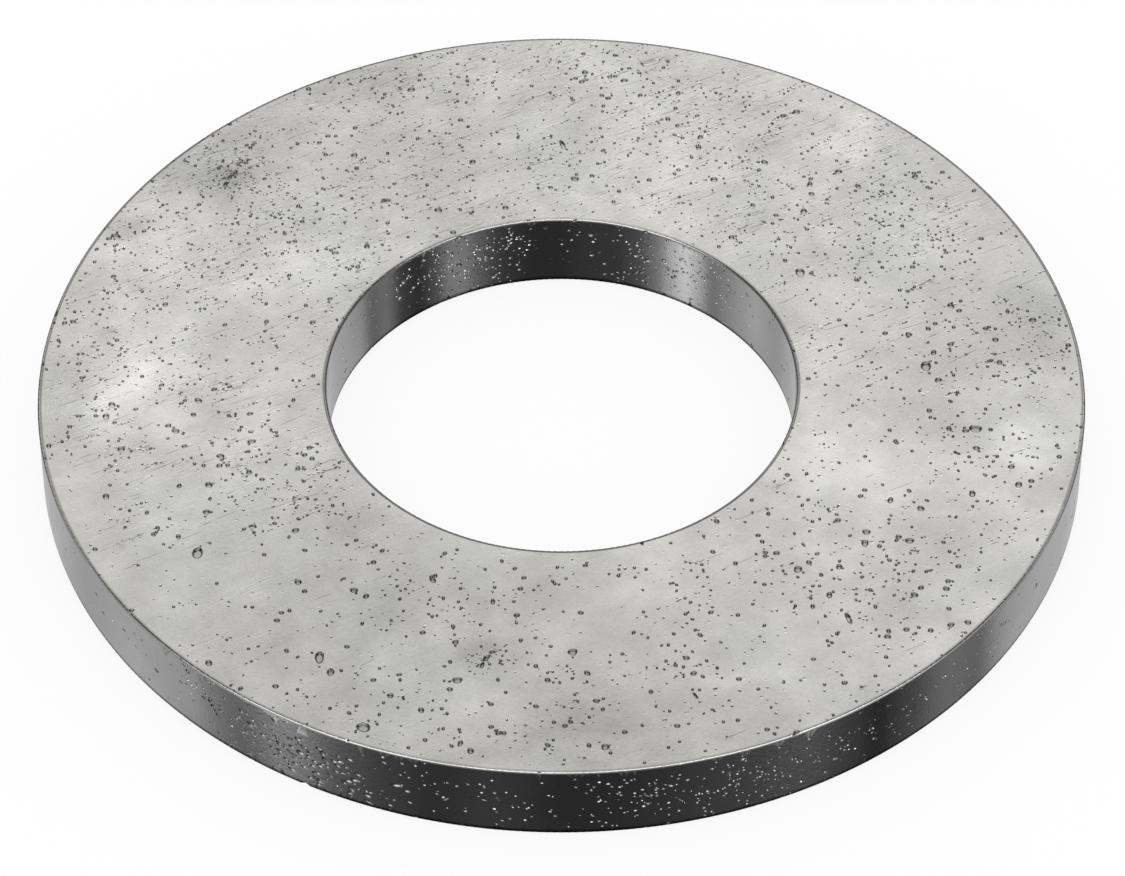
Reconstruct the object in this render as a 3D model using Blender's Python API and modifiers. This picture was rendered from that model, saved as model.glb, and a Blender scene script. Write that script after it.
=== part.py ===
"""Flat washer, quarter-inch narrow (SAE) pattern: one stamped disc of low-carbon steel.

The disc lies flat with its axis on +Z. The origin is on that axis, in the plane of the
lower bearing face, so the washer stands on z = 0. Units are metres.
"""

import bpy

# Driving dimensions, inch sizes of the standard turned into metres.
INCH = 0.0254
OUTER_DIAMETER = 0.625 * INCH   # 15.875 mm
HOLE_DIAMETER = 0.281 * INCH    # 7.137 mm, clearance hole for a quarter-inch bolt
THICKNESS = 0.051 * INCH        # 1.295 mm, the thin limit of 16-gauge stock
EDGE_RADIUS = 0.00006           # tumbled break on all four circular edges
EDGE_SEGMENTS = 2               # facets across each edge break
TURN_STEPS = 144                # facets round the circle

PART_COLLECTION = "flat_washer"


def clear_scene():
    """Leaves an empty scene, so only the washer is in it."""
    for obj in list(bpy.data.objects):
        bpy.data.objects.remove(obj, do_unlink=True)


def steel():
    """Plain, unplated low-carbon steel with a dull tumbled shine."""
    material = bpy.data.materials.new("plain_steel")
    material.use_nodes = True
    shader = material.node_tree.nodes["Principled BSDF"]
    shader.inputs["Base Color"].default_value = (0.58, 0.58, 0.56, 1.0)
    shader.inputs["Metallic"].default_value = 1.0
    shader.inputs["Roughness"].default_value = 0.32
    return material


def section_outline():
    """The rectangular section at +X, as a closed loop.

    It starts at the top of the outer side and runs down it, in along the lower face,
    up the wall of the hole and back out along the upper face.
    """
    outer = OUTER_DIAMETER / 2
    inner = HOLE_DIAMETER / 2
    return [
        (outer, 0.0, THICKNESS),
        (outer, 0.0, 0.0),
        (inner, 0.0, 0.0),
        (inner, 0.0, THICKNESS),
    ]


def make_disc(collection, material):
    """The washer itself: the section turned once round Z, then its corners broken."""
    corners = section_outline()
    edges = [(i, (i + 1) % len(corners)) for i in range(len(corners))]
    mesh = bpy.data.meshes.new("washer_disc")
    mesh.from_pydata(corners, edges, [])
    disc = bpy.data.objects.new("washer_disc", mesh)
    collection.objects.link(disc)
    disc.location = (0.0, 0.0, 0.0)
    mesh.materials.append(material)

    turn = disc.modifiers.new("turn", "SCREW")
    turn.axis = "Z"
    turn.steps = TURN_STEPS
    turn.render_steps = TURN_STEPS
    turn.use_merge_vertices = True
    turn.merge_threshold = 0.000001
    turn.use_smooth_shade = True

    edge_break = disc.modifiers.new("edge_break", "BEVEL")
    edge_break.width = EDGE_RADIUS
    edge_break.segments = EDGE_SEGMENTS
    edge_break.limit_method = "ANGLE"
    edge_break.angle_limit = 0.7
    edge_break.use_clamp_overlap = True
    edge_break.harden_normals = True
    return disc


def main():
    clear_scene()
    collection = bpy.data.collections.new(PART_COLLECTION)
    bpy.context.scene.collection.children.link(collection)
    make_disc(collection, steel())


main()
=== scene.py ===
import math

import bpy
import numpy as np
from mathutils import Matrix, Vector
from mathutils.geometry import delaunay_2d_cdt


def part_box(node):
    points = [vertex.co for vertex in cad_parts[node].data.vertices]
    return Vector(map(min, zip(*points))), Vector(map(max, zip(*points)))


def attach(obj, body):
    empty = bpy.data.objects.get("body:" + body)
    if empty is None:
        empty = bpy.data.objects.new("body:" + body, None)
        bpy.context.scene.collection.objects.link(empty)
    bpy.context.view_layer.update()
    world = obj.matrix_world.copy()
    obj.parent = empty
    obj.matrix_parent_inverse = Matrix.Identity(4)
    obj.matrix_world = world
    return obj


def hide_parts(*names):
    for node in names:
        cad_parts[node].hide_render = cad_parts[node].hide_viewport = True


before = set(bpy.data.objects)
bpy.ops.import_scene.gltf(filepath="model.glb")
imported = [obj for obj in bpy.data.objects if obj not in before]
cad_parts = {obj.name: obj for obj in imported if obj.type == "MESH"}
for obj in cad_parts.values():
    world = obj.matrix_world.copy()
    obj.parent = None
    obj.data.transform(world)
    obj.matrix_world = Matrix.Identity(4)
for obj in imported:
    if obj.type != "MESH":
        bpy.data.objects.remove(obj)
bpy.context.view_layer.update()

# ---------------------------------------------------------------------------
# Sizes, in millimetres. Outside and thickness come from the CAD node.
# ---------------------------------------------------------------------------
low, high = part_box("washer_disc")
MM = 0.001
R_OUT = (high.x - low.x) / 2 / MM
THICK = (high.z - low.z) / MM
R_BORE = 0.281 * 25.4 / 2
EDGE = 0.042                      # radius of the tumbled edge break, as sharp as its line in the picture
GRAIN_DEG = 27.5                  # direction of the sheet's rolling scratches

rng = np.random.RandomState(41)

# The section is one closed loop of length TOTAL. S runs outwards over the upper face, down
# the outer wall, inwards under the lower face and up the wall of the hole.
FACE_W = (R_OUT - EDGE) - (R_BORE + EDGE)
ARC = EDGE * math.pi / 2
WALL_H = THICK - 2 * EDGE
S = np.cumsum([0, FACE_W, ARC, WALL_H, ARC, FACE_W, ARC, WALL_H, ARC])
TOTAL = S[8]


def section(s):
    """Radius, height and outward normal (radial, axial) of the section at S = s."""
    s = np.mod(s, TOTAL)
    k = np.clip(np.searchsorted(S, s, side="right") - 1, 0, 7)
    d = s - S[k]
    t = d / EDGE
    sn, cs = np.sin(t), np.cos(t)
    one, zero = np.ones_like(s), np.zeros_like(s)
    rho = np.choose(k, [R_BORE + EDGE + d, R_OUT - EDGE + EDGE * sn, R_OUT * one, R_OUT - EDGE + EDGE * cs,
                        R_OUT - EDGE - d, R_BORE + EDGE - EDGE * sn, R_BORE * one, R_BORE + EDGE - EDGE * cs])
    z = np.choose(k, [THICK * one, THICK - EDGE + EDGE * cs, THICK - EDGE - d, EDGE - EDGE * sn,
                      zero, EDGE - EDGE * cs, EDGE + d, THICK - EDGE + EDGE * sn])
    nr = np.choose(k, [zero, sn, one, cs, zero, -sn, -one, -cs])
    nz = np.choose(k, [one, cs, zero, -sn, -one, -cs, zero, sn])
    return rho, z, nr, nz


# ---------------------------------------------------------------------------
# Charts: flat maps of the surface that the marks are laid out on.
# ---------------------------------------------------------------------------
def chart_xy(chart, phi, s):
    """Chart coordinates in mm of surface points. A face's chart is the plan; a wall's is unrolled."""
    if chart == "top":
        d = np.mod(s + TOTAL / 4, TOTAL) - TOTAL / 4
        rho = R_BORE + EDGE + d
        return np.stack([rho * np.cos(phi), rho * np.sin(phi)], 1)
    if chart == "bottom":
        rho = R_OUT - EDGE - (s - S[4])
        return np.stack([rho * np.cos(phi), rho * np.sin(phi)], 1)
    if chart == "outer":
        return np.stack([R_OUT * phi, s - (S[2] + WALL_H / 2)], 1)
    return np.stack([R_BORE * phi, s - (S[6] + WALL_H / 2)], 1)


def chart_range(chart, s):
    """True where a surface point is near enough to a chart for its marks to reach."""
    reach = 0.35
    s = np.mod(s, TOTAL)
    if chart == "top":
        return (s < S[1] + ARC + reach) | (s > TOTAL - ARC - reach)
    if chart == "bottom":
        return (s > S[4] - ARC - reach) & (s < S[5] + ARC + reach)
    if chart == "outer":
        return (s > S[1] - reach) & (s < S[4] + reach)
    return (s > S[5] - reach) | (s < reach)


def from_plan(chart, x, y):
    phi = np.arctan2(y, x)
    rho = np.hypot(x, y)
    return phi, (rho - R_BORE - EDGE if chart == "top" else S[4] + R_OUT - EDGE - rho)


def from_wall(chart, u, v):
    return (u / R_OUT, v + S[2] + WALL_H / 2) if chart == "outer" else (u / R_BORE, v + S[6] + WALL_H / 2)


# ---------------------------------------------------------------------------
# Marks: pits, dents and scratches.
# ---------------------------------------------------------------------------
class Marks:
    """The pits and scratches of one chart."""

    def __init__(self):
        self.pits = []       # x, y, long radius, short radius, turn, depth, floor share, c2, p2, c3, p3, kind
        self.cuts = []       # x0, y0, x1, y1, half width, depth
        self.taken = {}
        self.one_sided = False   # painted shade held on one side of the pits, more so towards the back left

    def clear(self, x, y, r, closeness):
        """True if a pit of radius r at x, y keeps off the ones that are there."""
        c = 0.3
        i, j = int(math.floor(x / c)), int(math.floor(y / c))
        for di in (-1, 0, 1):
            for dj in (-1, 0, 1):
                for px, py, pr in self.taken.get((i + di, j + dj), ()):
                    if (px - x) ** 2 + (py - y) ** 2 < (closeness * (pr + r)) ** 2:
                        return False
        return True

    def pit(self, x, y, a, b=None, turn=0.0, depth=None, floor=None, lump=0.10):
        b = a if b is None else b
        small = min(a, b)
        if floor is None:
            floor = float(np.clip(0.05 + (small - 0.02) * 9, 0.08, 0.5))
        if depth is None:
            depth = small * (1 - floor) * rng.uniform(0.62, 0.95)
        kind = 0 if a < 0.0300 else 1 if a < 0.043 else 2 if a < 0.060 else 3 if a < 0.085 else 4
        self.pits.append((x, y, a, b, turn, depth, floor, rng.uniform(0.2, 1) * lump, rng.uniform(0, 6.28),
                          rng.uniform(0.2, 1) * lump * 0.7, rng.uniform(0, 6.28), kind))
        c = 0.3
        self.taken.setdefault((int(math.floor(x / c)), int(math.floor(y / c))), []).append((x, y, max(a, b)))

    def cut(self, x0, y0, x1, y1, half, depth):
        self.cuts.append((x0, y0, x1, y1, half, depth))


class Bins:
    """Points sorted into square cells, so that those near a mark are found quickly."""

    def __init__(self, xy, cell=0.2):
        self.cell = cell
        ij = np.floor(xy / cell).astype(np.int64)
        self.key = ij[:, 0] * 100003 + ij[:, 1]
        self.order = np.argsort(self.key, kind="stable")
        self.sorted = self.key[self.order]

    def near(self, x0, y0, x1, y1):
        c = self.cell
        found = []
        j0, j1 = math.floor(y0 / c), math.floor(y1 / c)
        for i in range(math.floor(x0 / c), math.floor(x1 / c) + 1):
            a = np.searchsorted(self.sorted, i * 100003 + j0, "left")
            b = np.searchsorted(self.sorted, i * 100003 + j1, "right")
            if b > a:
                found.append(self.order[a:b])
        return np.concatenate(found) if found else np.zeros(0, np.int64)


def pit_radius(p, alpha):
    return 1 + p[7] * np.cos(2 * alpha + p[8]) + p[9] * np.cos(3 * alpha + p[10])


def relief(marks, xy):
    """Depth in mm below the clean surface, and how much painted shade darkens a mark there (0 to 1), at chart points.
    """
    depth, mark_shade = np.zeros(len(xy)), np.zeros(len(xy))
    if not len(xy):
        return depth, mark_shade
    bins = Bins(xy)
    for p in marks.pits:
        x, y, a, b, turn, d, floor = p[:7]
        m = max(a, b) * 1.25
        k = bins.near(x - m, y - m, x + m, y + m)
        if not len(k):
            continue
        q = xy[k] - (x, y)
        c, s = math.cos(turn), math.sin(turn)
        px, py = (q[:, 0] * c + q[:, 1] * s) / a, (-q[:, 0] * s + q[:, 1] * c) / b
        w = np.hypot(px, py) / pit_radius(p, np.arctan2(py, px))
        if p[11] == 0:
            t = np.clip(1 - w, 0, 1)
            f = t
        else:
            t = np.clip((1 - w) / (1 - floor), 0, 1)
            f = t * t * (3 - 2 * t)
        depth[k] = np.maximum(depth[k], d * f)
        middle = (1.0, 1.0, 0.30, 0.22, 0.17)[p[11]]
        ring = np.where(f < 0.5, 2 * f, 1 - (2 * f - 1) * (1 - middle))
        # Painted shade kept on the back-left side of each pit and lifted on its front-right side, more so towards the
        # back left of the face.
        if marks.one_sided:
            share = min(max((-0.45 * x + 0.9 * y + 4.0) / 7.0, 0.15), 0.85)
            lee = np.clip(0.5 - 0.9 * (-0.40 * q[:, 0] + 0.92 * q[:, 1]) / max(a, b), 0, 1)
            ring = ring * (1 - share * lee)
        mark_shade[k] = np.maximum(mark_shade[k], ring)
    cuts = np.zeros(len(xy))
    for x0, y0, x1, y1, half, d in marks.cuts:
        k = bins.near(min(x0, x1) - half, min(y0, y1) - half, max(x0, x1) + half, max(y0, y1) + half)
        if not len(k):
            continue
        q = xy[k] - (x0, y0)
        dx, dy = x1 - x0, y1 - y0
        n = math.hypot(dx, dy)
        along = (q[:, 0] * dx + q[:, 1] * dy) / n
        off = np.abs(-q[:, 0] * dy + q[:, 1] * dx) / n
        ends = np.clip(np.minimum(along, n - along) / (0.25 * n), 0, 1)
        f = np.clip(1 - off / half, 0, 1) * ends
        cuts[k] = np.maximum(cuts[k], d * f)
        # Scratches are darkened with painted shade too.
        mark_shade[k] = np.maximum(mark_shade[k], 0.35 * f)
    return depth + cuts, mark_shade


MARKS = {c: Marks() for c in ("top", "bottom", "outer", "bore")}

# The larger dents of the upper face, in mm in plan: x, y, long radius, short radius, turn in degrees.
DENTS = [
    (-5.35, -3.63, 0.110, 0.075, 80), (-3.49, -5.71, 0.105, 0.068, 85), (-3.32, -6.00, 0.066, 0.052, 70),
    (-2.82, -7.06, 0.100, 0.078, 170), (0.02, 5.32, 0.135, 0.042, 108), (3.70, 2.37, 0.098, 0.066, 100),
    (3.80, 3.77, 0.064, 0.054, 90), (3.92, 4.40, 0.056, 0.048, 60), (4.38, 4.70, 0.062, 0.048, 20),
    (3.22, 4.92, 0.058, 0.050, 150), (3.94, 4.17, 0.060, 0.046, 110), (2.41, 4.51, 0.062, 0.054, 40),
    (2.18, 5.27, 0.056, 0.046, 95), (5.55, 0.30, 0.098, 0.076, 80), (5.72, 0.00, 0.060, 0.044, 30),
    (6.23, -1.05, 0.092, 0.070, 160), (6.08, -1.09, 0.056, 0.040, 10), (6.22, -1.46, 0.055, 0.045, 0),
    (6.00, 1.63, 0.062, 0.046, 130), (6.12, 1.52, 0.048, 0.040, 20), (4.17, -4.94, 0.135, 0.038, 106),
    (4.50, -3.20, 0.062, 0.052, 35), (4.47, -3.43, 0.066, 0.052, 60), (5.13, -3.38, 0.068, 0.052, 165),
    (4.97, -3.30, 0.048, 0.044, 0), (0.62, -7.43, 0.062, 0.054, 45), (0.50, -6.55, 0.050, 0.044, 0),
    (-0.20, -6.15, 0.048, 0.042, 90), (-6.95, 3.20, 0.082, 0.050, 160), (-7.06, 3.15, 0.050, 0.040, 20),
    (-6.87, -0.78, 0.056, 0.050, 0), (-6.60, -1.48, 0.062, 0.050, 170), (-7.28, -0.78, 0.046, 0.038, 0),
    (-7.02, -0.77, 0.040, 0.036, 0), (-5.80, -1.10, 0.062, 0.050, 150), (-5.92, -0.98, 0.050, 0.040, 40),
    (-5.10, -1.63, 0.060, 0.054, 0), (-5.11, -1.83, 0.050, 0.046, 0), (-5.25, -2.23, 0.060, 0.052, 90),
    (-4.65, -1.32, 0.066, 0.046, 15), (-3.78, -1.45, 0.048, 0.042, 60), (-3.73, -1.68, 0.046, 0.040, 120),
    (-5.55, -0.75, 0.052, 0.040, 140), (-4.70, -0.73, 0.050, 0.040, 20), (-3.82, 1.26, 0.052, 0.044, 60),
    (-3.57, 1.78, 0.048, 0.038, 20), (-3.52, 2.82, 0.054, 0.044, 10), (-2.73, 4.03, 0.046, 0.042, 0),
    (-3.85, 5.38, 0.046, 0.038, 30), (0.38, 7.08, 0.056, 0.044, 170), (0.33, 6.85, 0.052, 0.044, 20),
    (0.87, 6.98, 0.044, 0.038, 0), (1.01, 6.88, 0.060, 0.048, 0), (0.65, 6.52, 0.046, 0.038, 150),
    (0.75, 6.45, 0.050, 0.040, 0), (4.96, 1.02, 0.050, 0.040, 50), (5.45, 2.50, 0.046, 0.040, 0),
    (7.00, -2.15, 0.050, 0.044, 0), (6.72, -1.85, 0.052, 0.046, 0), (7.45, -1.64, 0.044, 0.040, 0),
    (4.09, -2.96, 0.048, 0.042, 30), (3.16, -3.63, 0.050, 0.044, 0), (3.00, -3.62, 0.042, 0.036, 0),
    (3.63, -3.82, 0.046, 0.042, 0), (5.82, -3.90, 0.046, 0.042, 0), (5.62, -4.35, 0.052, 0.046, 10),
    (5.15, -4.47, 0.056, 0.046, 150), (5.00, -5.16, 0.048, 0.044, 0), (5.35, -5.18, 0.046, 0.042, 60),
    (5.65, -5.07, 0.052, 0.048, 0), (5.90, -5.02, 0.052, 0.046, 0), (4.72, -5.30, 0.050, 0.046, 0),
    (1.80, -5.72, 0.050, 0.044, 0), (1.90, -6.02, 0.050, 0.044, 30), (2.55, -6.13, 0.044, 0.040, 0),
    (1.65, -7.03, 0.046, 0.042, 0), (0.90, -7.15, 0.042, 0.038, 0), (0.05, -7.03, 0.042, 0.040, 0),
    (-0.90, -7.17, 0.046, 0.040, 20), (-1.00, -7.05, 0.044, 0.038, 0), (-3.03, -4.38, 0.060, 0.048, 160),
    (-2.85, -4.50, 0.052, 0.044, 30), (-3.85, -4.22, 0.058, 0.046, 25), (-3.75, -4.40, 0.044, 0.038, 0),
    (-4.13, -4.98, 0.044, 0.040, 0), (-4.07, -4.83, 0.042, 0.036, 0), (-2.70, -6.15, 0.044, 0.040, 0),
    (-2.45, -6.45, 0.050, 0.044, 0), (-3.10, -5.50, 0.042, 0.036, 0), (-1.60, -6.33, 0.046, 0.042, 0),
    (-0.60, -4.35, 0.044, 0.040, 0), (-0.65, -4.88, 0.048, 0.042, 0), (0.28, -4.83, 0.046, 0.040, 0),
    (-0.55, -4.13, 0.042, 0.036, 0), (0.35, -3.88, 0.040, 0.036, 0), (-6.45, 2.43, 0.044, 0.038, 0),
    (-7.50, 1.28, 0.048, 0.040, 0), (-7.35, 0.35, 0.046, 0.040, 0), (3.37, -2.02, 0.042, 0.038, 0),
    (2.90, -3.27, 0.042, 0.038, 0), (3.75, 0.03, 0.040, 0.036, 0), (-5.24, 4.56, 0.080, 0.036, 75),
    (-5.16, 4.66, 0.060, 0.034, 60), (-5.30, 4.40, 0.064, 0.034, 80), (-1.08, -5.72, 0.072, 0.038, 60),
    (-1.14, -5.86, 0.064, 0.034, 80), (-1.00, -5.60, 0.052, 0.032, 30), (1.92, -6.45, 0.090, 0.022, 118),
]

# Where the small pits gather on the upper face: x, y, spread, share, size of pit.
CROWDS = [
    (-5.2, 4.6, 0.30, 150, 0.75), (-5.3, 5.5, 0.45, 70, 0.80), (-4.2, 4.3, 0.90, 230, 0.85), (-5.6, 3.6, 0.80, 190, 0.88),
    (-4.1, 3.0, 0.70, 130, 0.85), (-2.3, 4.3, 0.65, 110, 0.95), (-2.2, 5.4, 0.50, 70, 0.95), (-3.3, 6.5, 0.55, 90, 0.90),
    (-1.5, 6.9, 0.55, 80, 0.90), (-6.7, 3.3, 0.55, 90, 0.90), (-7.2, 1.4, 0.50, 80, 0.90), (-6.7, 0.6, 0.60, 80, 0.95),
    (0.4, 7.2, 0.45, 60, 0.95), (1.4, 6.2, 0.80, 150, 0.95), (0.0, 5.4, 0.55, 80, 0.95), (2.5, 5.2, 0.75, 120, 1.00),
    (3.2, 4.4, 0.55, 60, 1.00), (5.1, 4.2, 0.85, 160, 0.90), (5.2, 3.1, 0.60, 100, 0.95), (3.2, 3.1, 0.50, 70, 0.95),
    (7.4, 1.3, 0.45, 80, 0.85), (7.3, 0.2, 0.45, 60, 0.90), (5.9, 0.1, 0.40, 40, 1.00), (6.3, -1.2, 0.50, 60, 1.05),
    (6.5, 1.0, 0.60, 70, 1.00), (3.7, -2.8, 0.50, 55, 1.00), (4.9, -3.4, 0.55, 60, 1.00), (5.0, -4.3, 0.55, 60, 1.05),
    (3.3, -4.1, 0.55, 55, 1.10), (4.3, -4.8, 0.45, 45, 1.05), (1.6, -4.7, 0.55, 50, 1.10), (-1.08, -5.68, 0.17, 60, 0.75),
    (-1.4, -4.7, 0.50, 60, 0.95), (-0.3, -5.6, 0.35, 30, 1.00), (-3.4, -2.1, 0.45, 60, 0.85), (-3.9, -2.5, 0.40, 45, 0.85),
    (-4.3, -1.4, 0.45, 50, 0.95), (-5.0, -1.8, 0.50, 40, 1.00), (-6.0, -3.2, 0.35, 25, 1.00), (-6.8, -1.0, 0.50, 45, 1.00),
    (0.2, -6.4, 0.45, 35, 1.10), (-1.6, -6.9, 0.50, 35, 1.05), (1.9, -6.1, 0.40, 35, 1.05), (-4.0, 1.0, 0.90, 60, 0.95),
    (-5.8, 1.9, 0.80, 80, 0.90), (4.2, 1.2, 0.80, 50, 1.00), (-2.0, -4.6, 0.60, 40, 1.00), (2.6, -6.3, 0.50, 25, 1.10),
]


def pit_size():
    """A random pit radius in mm: mostly tiny, with a few large."""
    return float(np.clip(0.0265 * math.exp(rng.normal(0.0, 0.35)), 0.0160, 0.080))


def on_face(x, y, margin=0.0):
    rho = math.hypot(x, y)
    return R_BORE + EDGE * 0.6 + margin < rho < R_OUT - EDGE * 0.6 - margin


def drop(marks, x, y, scale=1.0, closeness=0.62, steep=1.0, turn=None, slim=0.52):
    a = pit_size() * scale
    if not marks.clear(x, y, a, closeness if rng.rand() < 0.85 else 0.35):
        return False
    b = a * (rng.uniform(0.68, 0.92) if turn is None else rng.uniform(slim, slim + 0.33))
    marks.pit(x, y, a, b, (math.pi / 2 if turn is None else turn) + rng.normal(0, 0.55 if turn is None else 0.3))
    if steep != 1.0:
        last = list(marks.pits[-1])
        last[5] *= steep
        marks.pits[-1] = tuple(last)
    return True


top = MARKS["top"]
top.one_sided = True
for x, y, a, b, turn in DENTS:
    top.pit(x, y, a * 1.15, b * 1.15, math.radians(turn), lump=0.12 if a > 0.05 else 0.08)
    if a > 0.055 and rng.rand() < 0.5:
        side = rng.uniform(0, 6.28)
        top.pit(x + (a + 0.02) * math.cos(side), y + (b + 0.02) * math.sin(side), 0.026, 0.021, side)

for cx, cy, spread, count, scale in CROWDS:
    for _ in range(int(count * 0.95)):
        x, y = rng.normal(cx, spread), rng.normal(cy, spread)
        if on_face(x, y):
            drop(top, x, y, scale)

# An even share added patch by patch: centre of a 1.5 mm square, and how many.
for cx, cy, count in ((-3, 7.5, 10), (-1.5, 7.5, 20), (1.5, 7.5, 20), (3, 7.5, 8), (-4.5, 6, 12), (-1.5, 6, 12), (1.5, 6, 14), (3, 6, 16),
                      (4.5, 6, 12), (-3, 4.5, 9), (-1.5, 4.5, 10), (0, 4.5, 16), (1.5, 4.5, 20), (4.5, 4.5, 14), (6, 4.5, 12), (-4.5, 3, 10),
                      (-3, 3, 17), (1.5, 3.4, 12), (3, 3, 14), (4.5, 3, 10), (6, 3, 12), (7.5, 3, 6), (-7.5, 1.5, 8), (-6, 1.5, 8), (-3.2, 1.5, 10),
                      (3.2, 1.5, 14), (4.5, 1.5, 9), (6, 1.5, 16), (-7.5, 0, 18), (-6, 0, 25), (-4.5, 0, 7), (4.5, 0, 18), (6, 0, 13),
                      (7.5, 0, 8), (-7.5, -1.5, 12), (-6, -1.5, 9), (3.2, -1.5, 5), (4.5, -1.5, 11), (6, -1.5, 16), (7.5, -1.5, 15),
                      (-7.2, -3, 6), (-4.5, -3, 18), (-3, -3.4, 12), (1.5, -3.4, 8), (6, -3, 22), (7.2, -3, 6), (-6, -4.5, 9), (-3, -4.5, 8),
                      (0, -4.5, 8), (1.5, -4.5, 8), (6, -4.5, 10), (-4.5, -6, 14), (-3, -6, 15), (-1.5, -6, 10), (4.5, -6, 12), (-3, -7.2, 14),
                      (0, -7.3, 16), (1.5, -7.3, 10)):
    for _ in range(int(count * 1.15)):
        x, y = cx + rng.uniform(-0.75, 0.75), cy + rng.uniform(-0.75, 0.75)
        if on_face(x, y):
            drop(top, x, y, 0.96)

# Short chains along the rolling direction, and a thin even scatter.
grain = math.radians(GRAIN_DEG)
for _ in range(95):
    rho, ang = math.sqrt(rng.uniform(R_BORE ** 2, R_OUT ** 2)), rng.uniform(-0.2, 3.9)
    x, y = rho * math.cos(ang), rho * math.sin(ang)
    turn = grain + rng.normal(0, 0.12)
    for _ in range(rng.randint(3, 8)):
        step = rng.uniform(0.045, 0.10)
        x, y = x + step * math.cos(turn) + rng.normal(0, 0.012), y + step * math.sin(turn) + rng.normal(0, 0.012)
        if on_face(x, y):
            drop(top, x, y, 0.85, 0.5)
for _ in range(1150):
    rho, ang = math.sqrt(rng.uniform(R_BORE ** 2, R_OUT ** 2)), rng.uniform(0, 2 * math.pi)
    x, y = rho * math.cos(ang), rho * math.sin(ang)
    if on_face(x, y):
        drop(top, x, y, 1.05 if y < 0 else 0.95)

# The smallest pits, thickest along the back, the left and the right rim.
for cx, cy, count in ((1.5, 7.5, 14), (-4.5, 6, 18), (1.5, 6, 20), (3, 6, 10), (-4.5, 4.5, 14), (-3, 4.5, 12), (-1.5, 4.5, 18), (0, 4.5, 18),
                      (1.5, 4.5, 12), (4.5, 4.5, 20), (6, 4.5, 12), (-4.5, 3, 26), (-3, 3, 14), (-2.2, 3.2, 14), (1.8, 3.3, 14), (3, 3, 6),
                      (4.5, 3, 20), (6, 3, 8), (7.2, 3, 8), (-4.5, 1.5, 16), (-3.4, 1.6, 6), (-7.5, 1.5, 6), (6, 1.5, 8), (4.5, 1.5, 6),
                      (-7.4, 0, 20), (-6, 0, 22), (-4.5, 0, 8), (6, 0, 6), (4.5, 0, 10), (-7.3, -1.5, 14), (3.4, -1.6, 10), (4.5, -1.5, 10),
                      (6, -1.5, 12), (7.4, -1.5, 18), (-7.2, -3, 8), (6, -3, 10), (7.0, -3, 16), (-4.5, -3, 6), (-3, -4.5, 8), (-4.5, -6, 8),
                      (1.5, -6, 10), (4.5, -6, 12), (-3, -7.1, 22), (-1.5, -7.4, 12), (0, -7.4, 20)):
    for _ in range(int(count * 0.85)):
        x, y = cx + rng.uniform(-0.75, 0.75), cy + rng.uniform(-0.75, 0.75)
        if on_face(x, y):
            drop(top, x, y, 0.88)

# Scratches of the upper face, mostly on its back and left.
for _ in range(380):
    rho = math.sqrt(rng.uniform(R_BORE ** 2, R_OUT ** 2))
    ang = rng.uniform(0.1, 3.75) if rng.rand() < 0.85 else rng.uniform(0, 6.28)
    x, y = rho * math.cos(ang), rho * math.sin(ang)
    turn, n = grain + rng.normal(0, 0.05), rng.uniform(0.18, 0.75)
    dx, dy = n * math.cos(turn) / 2, n * math.sin(turn) / 2
    if on_face(x - dx, y - dy, 0.05) and on_face(x + dx, y + dy, 0.05):
        top.cut(x - dx, y - dy, x + dx, y + dy, rng.uniform(0.008, 0.012), rng.uniform(0.0018, 0.0042))

# The lower face, more lightly marked.
under = MARKS["bottom"]
for _ in range(22):
    cx_, cy_ = rng.uniform(-7, 7, 2)
    for _ in range(16):
        x, y = rng.normal(cx_, 0.5), rng.normal(cy_, 0.5)
        if on_face(x, y):
            drop(under, x, y, 1.1)
for _ in range(300):
    rho, ang = math.sqrt(rng.uniform(R_BORE ** 2, R_OUT ** 2)), rng.uniform(0, 2 * math.pi)
    if on_face(rho * math.cos(ang), rho * math.sin(ang)):
        drop(under, rho * math.cos(ang), rho * math.sin(ang), 1.15)


def scatter_wall(chart, radius, crowds, even):
    """Pits on an unrolled wall: crowds are azimuth in degrees (0 faces -Y, + towards +X), height share, spreads in mm, count, size."""
    marks, half = MARKS[chart], WALL_H / 2 + EDGE * 0.8
    seam = math.pi * radius - 0.2
    lean = 0.25 if chart == "outer" else -0.5
    for az, hs, su, sv, count, scale in crowds:
        phi = math.radians(az - 90)
        phi = (phi + math.pi) % (2 * math.pi) - math.pi
        for _ in range(count):
            u, v = rng.normal(phi * radius, su), rng.normal((0.5 - hs) * WALL_H, sv)
            if abs(v) < half and abs(u) < seam:
                drop(marks, u, v, scale, steep=1.5, turn=lean, slim=0.30 if scale > 1.6 else 0.52)
    for _ in range(even):
        u, v = rng.uniform(-seam, seam), rng.uniform(-half, half)
        drop(marks, u, v, 0.86, steep=1.5, turn=lean)


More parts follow.
